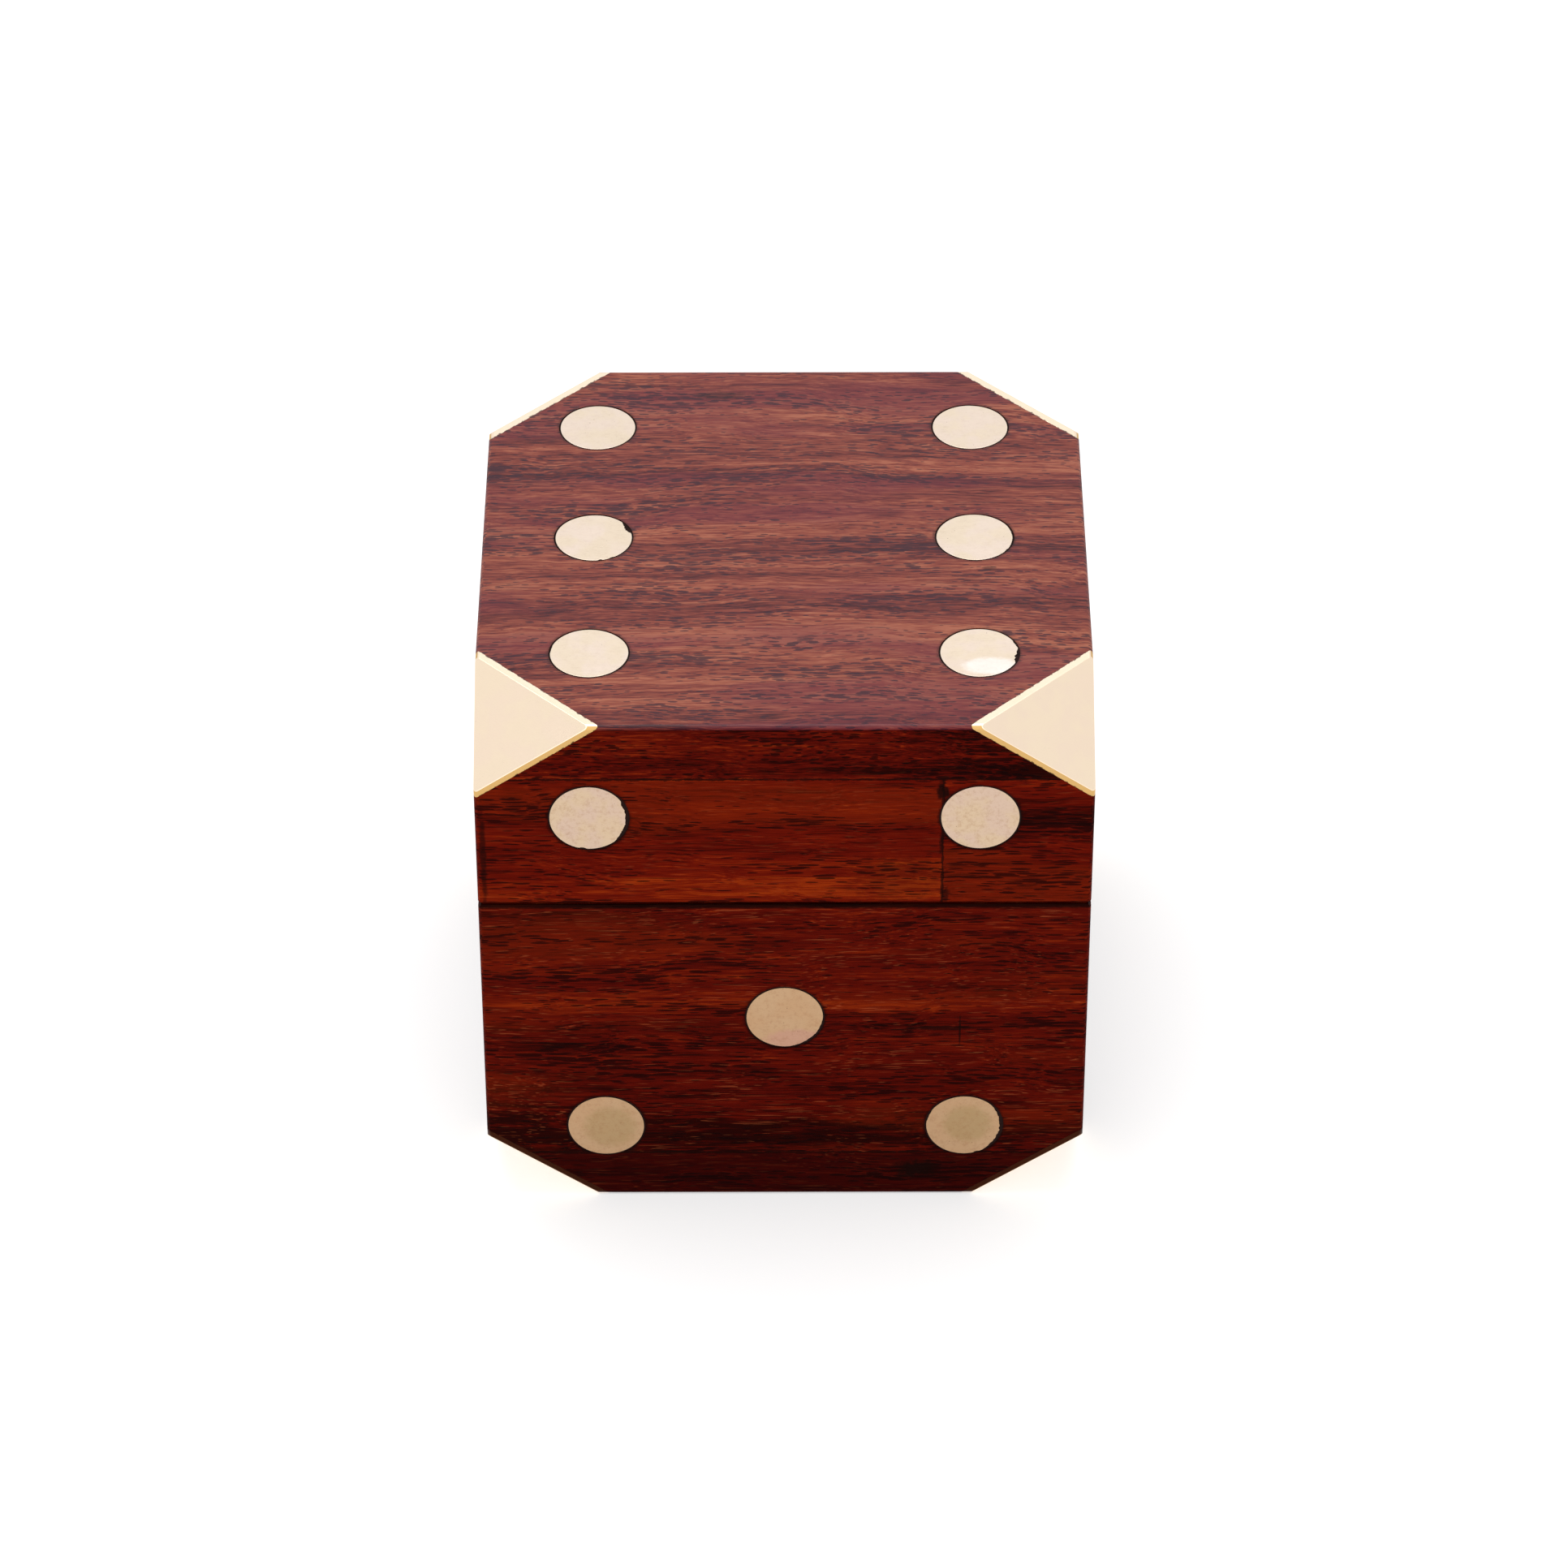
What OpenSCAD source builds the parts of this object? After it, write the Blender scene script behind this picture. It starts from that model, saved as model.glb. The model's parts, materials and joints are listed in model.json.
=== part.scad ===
// Dice box shaped like a large die: a wooden base and a hinged wooden lid, brass pips let
// into every face and brass plates on the eight cut corners. The front faces -Y, and the
// origin is the middle of the underside.

/* [Box] */
// Outside length of every side of the closed box
die_size = 63.5; // [60:0.5:90]
// Height of the seam between base and lid
seam_height = 40; // [36:0.5:44]
// Gap that the hinge leaves hold open between the two rims
seam_gap = 0.3; // [0.2:0.05:0.5]
// Thickness of the side walls
wall = 5.5; // [5:0.1:7]
// Thickness of the board under the base walls
floor_board = 6; // [4:0.1:8]
// Thickness of the board on top of the lid walls
top_board = 6.8; // [4.5:0.1:8]
// Radius of the softened outside edges
arris = 0.5; // [0.2:0.1:0.8]
// Chamfer on the two outside edges that meet at the seam
seam_chamfer = 0.3; // [0.1:0.05:0.5]
// Length of the shorter of the two pieces that make up the lid's front wall
short_piece = 15.5; // [12:0.1:26]

/* [Corner plates] */
// Distance along the top edges from a corner of the die to its cut
corner_cut = 13.2; // [9:0.1:14]
// Angle between a corner's cut and the top face
corner_tilt = 45; // [40:1:55]
// Thickness of the brass plates
plate_thickness = 0.6; // [0.4:0.05:1.2]

/* [Pips] */
// Radius of the brass pips
pip_radius = 4.05; // [2.5:0.05:5]
// Thickness of the pips, and depth of their recesses
pip_thickness = 1.5; // [0.8:0.1:2.5]
// Width of the glue line round each pip
pip_gap = 0.15; // [0.05:0.05:0.3]
// Distance from the side edges of a face to the middles of the lid's pips
pip_inset = 11.7; // [10.5:0.1:17]
// Distance from the side edges of a face to the middles of its low pips
low_pip_inset = 12.7; // [11:0.1:17]
// Distance from the front edge of the top to its front row
front_row_inset = 12.4; // [10.5:0.1:14]
// Distance from the back edge of the top to its back row
back_row_inset = 10.8; // [10.5:0.1:14]
// Distance from the top of the die down to the lid's pips
high_pip_drop = 11.8; // [10:0.1:14]
// Height of the low pips
low_pip_height = 9.8; // [8:0.1:13]

/* [Lining] */
// Thickness of the velvet lining
lining_thickness = 1; // [0.5:0.1:2]
// Distance that the lining stops short of the rim
lining_reveal = 0.8; // [0:0.1:3]

/* [Hinges] */
// Width of each hinge
hinge_width = 16; // [12:0.5:20]
// Distance from the side edges of the back to the middle of each hinge
hinge_inset = 16.8; // [12:0.1:20]
// Distance of the hinge pin behind the back face
pin_setback = 1; // [0.8:0.1:1.6]
// Radius of the pin
pin_radius = 0.6; // [0.4:0.05:0.8]
// Radial clearance of the pin in its knuckles
pin_clearance = 0.05; // [0.02:0.01:0.08]
// Radius of the pin's rounded-over ends
pin_head_radius = 0.95; // [0.9:0.05:1.2]
// Length of each of the pin's rounded-over ends
pin_head_length = 0.4; // [0.2:0.1:0.8]
// Outside radius of the knuckles
barrel_radius = 1.4; // [1.2:0.05:1.6]
// Number of knuckles on a hinge, which is odd
knuckles = 5; // [3:2:7]
// Gap between one knuckle and the next
knuckle_gap = 0.12; // [0.08:0.01:0.2]
// Thickness of the leaves
leaf_thickness = 0.7; // [0.5:0.05:0.9]
// Reach of the leaves into the rim from the back face
leaf_depth = 4.2; // [3.6:0.1:4.6]
// Gap between the two leaves when the lid is shut
leaf_gap = 0.2; // [0.1:0.05:0.3]
// Radius of a nail's shank
nail_radius = 0.5; // [0.3:0.05:0.6]
// Length of a nail
nail_length = 5; // [3:0.5:7]
// Radius of a nail's head
nail_head_radius = 1; // [0.8:0.05:1.2]
// Depth of a nail's countersunk head
nail_head_depth = 0.5; // [0.3:0.05:0.6]
// Distance between the two nails of a leaf
nail_spacing = 9; // [6:0.5:9]

/* [Hidden] */

$fn = 64;
half = die_size / 2;
inside = die_size - 2 * wall;
lid_rim = seam_height + seam_gap;
lid_board = die_size - top_board;
over = 1;                     // how far a cutter passes the surface that it opens

// A corner's cut, measured from the middle of the die along the cut's own axis
cut_depth = corner_cut * sin(corner_tilt) / sqrt(2);
cut_distance = half * (sqrt(2) * sin(corner_tilt) + cos(corner_tilt)) - cut_depth;

// Pip places on each face, seen from outside: across, then up
column = half - pip_inset;
low_column = half - low_pip_inset;
front_row = front_row_inset - half;
back_row = half - back_row_inset;
high = die_size - high_pip_drop;
middle_height = (low_pip_height + seam_height) / 2;
TOP_PIPS = [for (x = [-1, 1]) for (row = [front_row, (front_row + back_row) / 2, back_row])
    [x * column, row]];
LID_PAIR = [for (x = [-1, 1]) [x * column, high]];
LID_SINGLE = [[-column, high]];
BASE_PAIR = [for (x = [-1, 1]) [x * low_column, low_pip_height]];
BASE_MIDDLE = [[0, middle_height]];
BASE_SINGLE = [[low_column, low_pip_height]];
BOTTOM_PIPS = [[0, 0]];

splice = half - short_piece;
pin_height = seam_height + seam_gap / 2;
relief = 0.2;                 // clearance of the wood and the leaves round the barrels
barrel_space = barrel_radius + relief;
leaf_reach = pin_setback + leaf_depth;
leaf_face = leaf_gap / 2;
knuckle_length = (hinge_width - (knuckles - 1) * knuckle_gap) / knuckles;
knuckle_step = knuckle_length + knuckle_gap;
nail_setback = (barrel_space + leaf_reach) / 2;
nail_play = 0.03;             // clearance of a nail in its pilot hole
nail_tip = 1;                 // length of a nail's point
mortise_play = 0.1;           // clearance round a leaf in its mortise

WOOD = "saddlebrown";
BRASS = "burlywood";
VELVET = "darkred";

// The die before it is cut: a cube with softened edges

module rounded_square(size, r) {
    for (turn = [0, 90])
        rotate(turn) square([size, size - 2 * r], center = true);
    for (x = [-1, 1], y = [-1, 1])
        translate([x, y] * (size / 2 - r)) circle(r);
}

module edge_prism()
    linear_extrude(die_size, center = true) rounded_square(die_size, arris);

module die_blank()
    translate([0, 0, half])
        intersection() {
            edge_prism();
            rotate([90, 0, 0]) edge_prism();
            rotate([0, 90, 0]) edge_prism();
        }

// Turns +Z out through one corner of the die, with its origin in the middle of the die
module towards_corner(x, y, z)
    translate([0, 0, half])
        rotate([0, z > 0 ? corner_tilt : 180 - corner_tilt, atan2(y, x)])
            children();

module corner_slab(x, y, z, thickness)
    towards_corner(x, y, z)
        translate([-die_size, -die_size, cut_distance])
            cube([2 * die_size, 2 * die_size, thickness]);

module corner_plate(x, y, z)
    color(BRASS)
        intersection() {
            die_blank();
            corner_slab(x, y, z, plate_thickness);
        }

// Turns +Z out of a face, with X across it and Y up it as seen from outside
module on_face(face) {
    if (face == "top") translate([0, 0, die_size]) children();
    if (face == "bottom") rotate([180, 0, 0]) children();
    if (face == "front") rotate([90, 0, 0]) translate([0, 0, half]) children();
    if (face == "right") rotate([90, 0, 90]) translate([0, 0, half]) children();
    if (face == "back") rotate([90, 0, 180]) translate([0, 0, half]) children();
    if (face == "left") rotate([90, 0, 270]) translate([0, 0, half]) children();
}

module pip_recesses(face, places)
    for (place = places)
        on_face(face)
            translate([place.x, place.y, -pip_thickness])
                cylinder(r = pip_radius + pip_gap, h = pip_thickness + over);

module pips(face, places)
    color(BRASS)
        for (place = places)
            on_face(face)
                translate([place.x, place.y, -pip_thickness])
                    cylinder(r = pip_radius, h = pip_thickness);

// Wood

// The part of the cut die between two corners of a box
module wood(low, upper)
    difference() {
        intersection() {
            die_blank();
            translate(low) cube(upper - low);
        }
        for (x = [-1, 1], y = [-1, 1], z = [-1, 1])
            corner_slab(x, y, z, die_size);
    }

// Four bars that chamfer the outside edges at one side of the seam
module seam_edges(height)
    for (turn = [0 : 90 : 270])
        rotate(turn)
            translate([0, -half, height])
                rotate([45, 0, 0])
                    cube([2 * die_size, seam_chamfer * sqrt(2), seam_chamfer * sqrt(2)],
                         center = true);

module base_wall(low, upper)
    difference() {
        wood([low.x, low.y, floor_board], [upper.x, upper.y, seam_height]);
        seam_edges(seam_height);
    }

module lid_wall(low, upper)
    difference() {
        wood([low.x, low.y, lid_rim], [upper.x, upper.y, lid_board]);
        seam_edges(lid_rim);
    }

module base_floor_board()
    color(WOOD)
        difference() {
            wood([-half, -half, 0], [half, half, floor_board]);
            pip_recesses("bottom", BOTTOM_PIPS);
            for (face = ["front", "left"]) pip_recesses(face, BASE_PAIR);
            for (face = ["right", "back"]) pip_recesses(face, BASE_SINGLE);
        }

module base_front_wall()
    color(WOOD)
        difference() {
            base_wall([-half, -half], [half, -half + wall]);
            pip_recesses("front", concat(BASE_PAIR, BASE_MIDDLE));
        }

module base_back_wall()
    color(WOOD)
        difference() {
            base_wall([-half, half - wall], [half, half]);
            pip_recesses("back", BASE_SINGLE);
            at_hinges() hinge_mortise(-1);
        }

module base_left_wall()
    color(WOOD)
        difference() {
            base_wall([-half, -half + wall], [-half + wall, half - wall]);
            pip_recesses("left", BASE_PAIR);
        }

module base_right_wall()
    color(WOOD)
        difference() {
            base_wall([half - wall, -half + wall], [half, half - wall]);
            pip_recesses("right", concat(BASE_SINGLE, BASE_MIDDLE));
        }

module lid_top_board()
    color(WOOD)
        difference() {
            wood([-half, -half, lid_board], [half, half, die_size]);
            pip_recesses("top", TOP_PIPS);
            for (face = ["front", "left"]) pip_recesses(face, LID_PAIR);
            for (face = ["right", "back"]) pip_recesses(face, LID_SINGLE);
        }

module lid_front_wall_long()
    color(WOOD)
        difference() {
            lid_wall([-half, -half], [splice, -half + wall]);
            pip_recesses("front", LID_PAIR);
        }

module lid_front_wall_short()
    color(WOOD)
        difference() {
            lid_wall([splice, -half], [half, -half + wall]);
            pip_recesses("front", LID_PAIR);
        }

module lid_back_wall()
    color(WOOD)
        difference() {
            lid_wall([-half, half - wall], [half, half]);
            pip_recesses("back", LID_SINGLE);
            at_hinges() hinge_mortise(1);
        }

module lid_left_wall()
    color(WOOD)
        difference() {
            lid_wall([-half, -half + wall], [-half + wall, half - wall]);
            pip_recesses("left", LID_PAIR);
        }

module lid_right_wall()
    color(WOOD)
        difference() {
            lid_wall([half - wall, -half + wall], [half, half - wall]);
            pip_recesses("right", LID_SINGLE);
        }

// Velvet lining: a square on the board, and one strip round the four walls

module lining_sheet(bottom)
    color(VELVET)
        translate([-inside / 2, -inside / 2, bottom])
            cube([inside, inside, lining_thickness]);

module lining_strip(bottom, top)
    color(VELVET)
        translate([0, 0, bottom])
            linear_extrude(top - bottom)
                difference() {
                    square(inside, center = true);
                    rounded_square(inside - 2 * lining_thickness, lining_thickness);
                }

// Hinges: each is set into both rims, with its barrel behind the back face

// Puts +Y behind the box and the origin in the middle of a hinge's pin
module at_hinge(side)
    translate([side * (half - hinge_inset), half + pin_setback, pin_height])
        children();

module at_hinges()
    for (side = [-1, 1]) at_hinge(side) children();

// Keeps what is drawn below the pin on the base, or turns it over for the lid
module leaf_side(side)
    mirror([0, 0, side > 0 ? 1 : 0]) children();

module at_nails()
    for (x = [-1, 1])
        translate([x * nail_spacing / 2, -nail_setback, -leaf_face]) children();

module countersunk(radius, length)
    translate([0, 0, -length]) {
        cylinder(r = radius, h = length);
        translate([0, 0, length - nail_head_depth])
            cylinder(r1 = radius, r2 = nail_head_radius, h = nail_head_depth);
    }

module hinge_mortise(side)
    leaf_side(side) {
        translate([-hinge_width / 2 - mortise_play, -leaf_reach - mortise_play,
                   -leaf_face - leaf_thickness])
            cube([hinge_width + 2 * mortise_play, leaf_reach + barrel_radius,
                  leaf_thickness + over]);
        rotate([0, 90, 0])
            cylinder(r = barrel_space, h = hinge_width + 2 * (pin_head_length + relief),
                     center = true);
        at_nails()
            translate([0, 0, -nail_length - nail_play])
                cylinder(r = nail_radius + nail_play, h = nail_length + over);
    }

// The knuckles of a leaf are every second one, counted from its first
module at_knuckles(first)
    for (k = [first : 2 : knuckles - 1])
        translate([(k - (knuckles - 1) / 2) * knuckle_step, 0, 0]) children();

module hinge_leaf(side)
    color(BRASS)
        leaf_side(side)
            difference() {
                union() {
                    translate([-hinge_width / 2, -leaf_reach, -leaf_face - leaf_thickness])
                        cube([hinge_width, leaf_reach - barrel_space, leaf_thickness]);
                    at_knuckles(side > 0 ? 1 : 0) {
                        translate([-knuckle_length / 2, -barrel_space - relief,
                                   -leaf_face - leaf_thickness])
                            cube([knuckle_length, barrel_space + relief, leaf_thickness]);
                        rotate([0, 90, 0])
                            cylinder(r = barrel_radius, h = knuckle_length, center = true);
                    }
                }
                rotate([0, 90, 0])
                    cylinder(r = pin_radius + pin_clearance, h = hinge_width + 2 * over,
                             center = true);
                at_nails() countersunk(nail_radius + nail_play, leaf_thickness + over);
            }

module hinge_pin()
    color(BRASS)
        rotate([0, 90, 0]) {
            cylinder(r = pin_radius, h = hinge_width, center = true);
            for (end = [0, 1])
                mirror([0, 0, end])
                    translate([0, 0, hinge_width / 2])
                        cylinder(r1 = pin_head_radius, r2 = pin_radius, h = pin_head_length);
        }

module hinge_nails(side)
    color(BRASS)
        at_hinges()
            leaf_side(side)
                at_nails() {
                    translate([0, 0, nail_tip]) countersunk_shank();
                    translate([0, 0, -nail_length])
                        cylinder(r1 = nail_radius / 5, r2 = nail_radius, h = nail_tip);
                }

// A nail's shank and head, down to where its point starts
module countersunk_shank()
    translate([0, 0, -nail_tip])
        countersunk(nail_radius, nail_length - nail_tip);

base_floor_board();
base_front_wall();
base_back_wall();
base_left_wall();
base_right_wall();
corner_plate(-1, -1, -1);  // base_plate_front_left
corner_plate(1, -1, -1);  // base_plate_front_right
corner_plate(-1, 1, -1);  // base_plate_back_left
corner_plate(1, 1, -1);  // base_plate_back_right
pips("front", concat(BASE_PAIR, BASE_MIDDLE));  // base_front_pips
pips("back", BASE_SINGLE);  // base_back_pip
pips("left", BASE_PAIR);  // base_left_pips
pips("right", concat(BASE_SINGLE, BASE_MIDDLE));  // base_right_pips
pips("bottom", BOTTOM_PIPS);  // base_bottom_pip
lining_sheet(floor_board);  // base_lining_floor
lining_strip(floor_board + lining_thickness, seam_height - lining_reveal);  // base_lining_walls
lid_top_board();
lid_front_wall_long();
lid_front_wall_short();
lid_back_wall();
lid_left_wall();
lid_right_wall();
corner_plate(-1, -1, 1);  // lid_plate_front_left
corner_plate(1, -1, 1);  // lid_plate_front_right
corner_plate(-1, 1, 1);  // lid_plate_back_left
corner_plate(1, 1, 1);  // lid_plate_back_right
pips("top", TOP_PIPS);  // lid_top_pips
pips("front", LID_PAIR);  // lid_front_pips
pips("back", LID_SINGLE);  // lid_back_pip
pips("left", LID_PAIR);  // lid_left_pips
pips("right", LID_SINGLE);  // lid_right_pip
lining_sheet(lid_board - lining_thickness);  // lid_lining_top
lining_strip(lid_rim + lining_reveal, lid_board - lining_thickness);  // lid_lining_walls
at_hinge(-1) hinge_leaf(-1);  // hinge_left_base_leaf
at_hinge(-1) hinge_leaf(1);  // hinge_left_lid_leaf
at_hinge(-1) hinge_pin();  // hinge_left_pin
at_hinge(1) hinge_leaf(-1);  // hinge_right_base_leaf
at_hinge(1) hinge_leaf(1);  // hinge_right_lid_leaf
at_hinge(1) hinge_pin();  // hinge_right_pin
hinge_nails(-1);  // base_hinge_nails
hinge_nails(1);  // lid_hinge_nails
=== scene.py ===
# %% [markdown]
# # A rosewood dice box with brass pips
#
# The box is a die of 63.5 mm: a base, a lid that is hinged at the back, brass pips let into
# the wood and brass plates on the cut corners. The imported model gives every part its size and
# place. This script gives the parts their surfaces, makes the pieces whose shape is worn or
# soft, and sets up a small studio. Lengths are in metres, and +Y points to the back.

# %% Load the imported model
import json
import math
import random
import bmesh
import bpy
from mathutils import Matrix, Vector, noise


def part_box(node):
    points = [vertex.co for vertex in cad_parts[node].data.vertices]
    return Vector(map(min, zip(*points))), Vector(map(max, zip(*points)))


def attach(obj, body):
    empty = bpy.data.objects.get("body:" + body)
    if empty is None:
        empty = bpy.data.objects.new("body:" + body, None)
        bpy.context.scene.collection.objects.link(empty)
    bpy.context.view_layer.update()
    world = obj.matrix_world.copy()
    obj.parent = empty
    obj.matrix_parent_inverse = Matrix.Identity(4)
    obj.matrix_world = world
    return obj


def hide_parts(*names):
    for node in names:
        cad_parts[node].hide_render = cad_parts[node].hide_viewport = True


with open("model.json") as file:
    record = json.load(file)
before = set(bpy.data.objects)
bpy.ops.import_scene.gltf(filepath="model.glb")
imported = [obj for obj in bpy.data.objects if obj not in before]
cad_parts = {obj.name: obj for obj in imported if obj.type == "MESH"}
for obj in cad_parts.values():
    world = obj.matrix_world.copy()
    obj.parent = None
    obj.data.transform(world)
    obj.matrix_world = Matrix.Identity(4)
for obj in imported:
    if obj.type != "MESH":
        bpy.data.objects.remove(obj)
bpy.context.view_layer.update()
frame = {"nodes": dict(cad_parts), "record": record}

MM = 0.001
random.seed(63)
nodes = frame["nodes"]
bodies = frame["record"]["behaviour"]["bodies"]
node_body = {node: body for body, members in bodies.items() for node in members}
scene = bpy.context.scene

# %% [markdown]
# ## Camera
#
# The photograph looks down on the front of the box from about 38 degrees above the horizon
# with a long lens, so upright edges hardly lean. The camera's place and lens come from
# fitting the box's corners to the picture.

# %% Camera
CAMERA_PLACE = (0.00016, -0.53111, 0.45079)
CAMERA_TURN = (51.68, 0.08, -0.04)
CAMERA_LENS = 143.4

camera_data = bpy.data.cameras.new("camera")
camera_data.lens = CAMERA_LENS
camera_data.sensor_width = 36
camera_data.clip_start = 0.01
camera = bpy.data.objects.new("camera", camera_data)
camera.location = CAMERA_PLACE
camera.rotation_euler = [math.radians(a) for a in CAMERA_TURN]
scene.collection.objects.link(camera)
scene.camera = camera
print("camera lens:", camera_data.lens, "mm")

# %% [markdown]
# ## Writing materials as sums
#
# A material is a tree of nodes. Wiring each node by hand hides the idea behind it, so two
# small classes let a pattern be written as arithmetic: `Value` is a socket that can be added
# and multiplied, and `Finish` is a material that makes nodes.

# %% Values and finishes
class Value:
    """An output socket that works in sums: each operator adds one Math node."""

    def __init__(self, finish, socket):
        self.finish, self.socket = finish, socket

    def math(self, operation, *numbers):
        return self.finish.node("Math", {"operation": operation}, dict(enumerate(numbers)))

    def __add__(self, other):
        return self.math("ADD", self, other)

    def __sub__(self, other):
        return self.math("SUBTRACT", self, other)

    def __rsub__(self, other):
        return self.math("SUBTRACT", other, self)

    def __mul__(self, other):
        return self.math("MULTIPLY", self, other)

    __radd__, __rmul__ = __add__, __mul__

    def size(self):
        return self.math("ABSOLUTE", self)

    def step(self, low, high):
        """0 below low, 1 above high, and a smooth ramp between them."""
        return self.finish.node(
            "MapRange",
            {"interpolation_type": "SMOOTHSTEP"},
            {"Value": self, "From Min": low, "From Max": high},
        )

    def larger(self, other):
        return self.math("MAXIMUM", self, other)


class Finish:
    """A material whose nodes are made by one method."""

    def __init__(self, name):
        self.material = bpy.data.materials.new(name)
        self.material.use_nodes = True
        self.tree = self.material.node_tree
        self.shader = self.tree.nodes["Principled BSDF"]

    def node(self, kind, settings=None, inputs=None, output=0):
        made = self.tree.nodes.new("ShaderNode" + kind)
        for name, setting in (settings or {}).items():
            if name == "stops":
                elements = made.color_ramp.elements
                elements.remove(elements[1])
                elements[0].position, elements[0].color = setting[0]
                for position, colour in setting[1:]:
                    elements.new(position).color = colour
            else:
                setattr(made, name, setting)
        for name, value in (inputs or {}).items():
            if isinstance(value, Value):
                self.tree.links.new(value.socket, made.inputs[name])
            else:
                made.inputs[name].default_value = value
        return Value(self, made.outputs[output])

    def set(self, **sockets):
        """Sets the shader's own sockets; Base_Color stands for Base Color."""
        for name, value in sockets.items():
            socket = self.shader.inputs[name.replace("_", " ")]
            if isinstance(value, Value):
                self.tree.links.new(value.socket, socket)
            else:
                socket.default_value = value

    def millimetres(self, shift=(0, 0, 0), turn=(0, 0, 0)):
        """The piece's own coordinates in millimetres, turned and then shifted."""
        place = self.node("TexCoord", output="Object")
        return self.node(
            "Mapping",
            inputs={
                "Vector": place,
                "Location": shift,
                "Rotation": [math.radians(a) for a in turn],
                "Scale": (1 / MM,) * 3,
            },
        )

    def axes(self):
        """X, Y and Z of the piece's own coordinates, in metres."""
        place = self.node("TexCoord", output="Object")
        return [self.node("SeparateXYZ", inputs={0: place}, output=i) for i in range(3)]

    def stretch(self, vector, along, across):
        return self.node(
            "VectorMath", {"operation": "MULTIPLY"}, {0: vector, 1: (along, across, across)}
        )

    def noise(self, vector, scale=1.0, detail=2.0, roughness=0.5):
        return self.node(
            "TexNoise",
            inputs={"Vector": vector, "Scale": scale, "Detail": detail, "Roughness": roughness},
        )

    def mix(self, factor, a, b):
        """Mixes two colours; a and b are colours or sockets that carry one."""
        return self.node("Mix", {"data_type": "RGBA"}, {0: factor, 6: a, 7: b}, 2)

    def bump(self, height, depth, strength=1.0):
        self.set(
            Normal=self.node(
                "Bump", inputs={"Strength": strength, "Distance": depth, "Height": height}
            )
        )


def rgb(red, green, blue):
    """A colour picked from a screen, 0 to 255 each, as the linear colour that a shader takes."""
    channel = [c / 255 for c in (red, green, blue)]
    return [c / 12.92 if c <= 0.04045 else ((c + 0.055) / 1.055) ** 2.4 for c in channel] + [1]


# %% [markdown]
# ## Rosewood
#
# The wood is dark red-brown with orange and purple bands. Its grain runs along X on the top,
# the bottom, the front and the back, and along Y on the side walls. Seen close, the bands are
# made of fine streaks, and short dark dashes lie over them: the open pores of the wood, cut
# lengthwise. One material in three dimensions gives long grain on a board's face and end
# grain on its ends, as a real board has. The lacquer on top is thin and semi-gloss.

# %% Ragged spots
def blotch(finish, middle, radii, ragged, ramp=(0.45, 1.1), roughness=1.4):
    """1 inside a spot with a ragged edge; middle and radii are in millimetres."""
    place = finish.node(
        "Mapping",
        {"vector_type": "TEXTURE"},
        {"Vector": finish.millimetres(), "Location": middle, "Scale": radii},
    )
    distance = finish.node("VectorMath", {"operation": "LENGTH"}, {0: place}, "Value")
    return 1 - (distance + (ragged - 0.5) * roughness).step(*ramp)


# %% [markdown]
# Every pattern in the wood is noise that is stretched along the grain. Each scale below says
# how often a pattern repeats in a millimetre, first along the grain and then across it: the
# grain's own bends come first, then its bands and streaks, and then its pores and flecks.

# %% The rosewood finish
SWAY, TILT, RIPPLE = (0.030, 0.06), (0.012, 0.02), (0.10, 0.22)
WIDE, MIDDLE, FINE, HAIR = (0.009, 0.20), (0.030, 0.95), (0.11, 3.2), (0.25, 8.5)
PATCH, CROWD, DASH, THREAD = (0.022, 0.16), (0.05, 0.35), (0.34, 3.0), (0.13, 5.2)
GLINT = (0.26, 8.0)
# the dark of glue lines, also used for painted shade at the seam and on one edge
GLUE_AND_SHADE_TONE = rgb(22, 5, 3)
FLECK = rgb(186, 92, 52)
WALL_PORE = rgb(18, 3, 3)
OUTER_FACE = (31.2 * MM, 31.4 * MM)  # how far the outer faces lie from the middle
WOOD_GLOSS, COAT_SHARE, COAT_ROUGHNESS = 0.015, 0.52, 0.22


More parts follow.
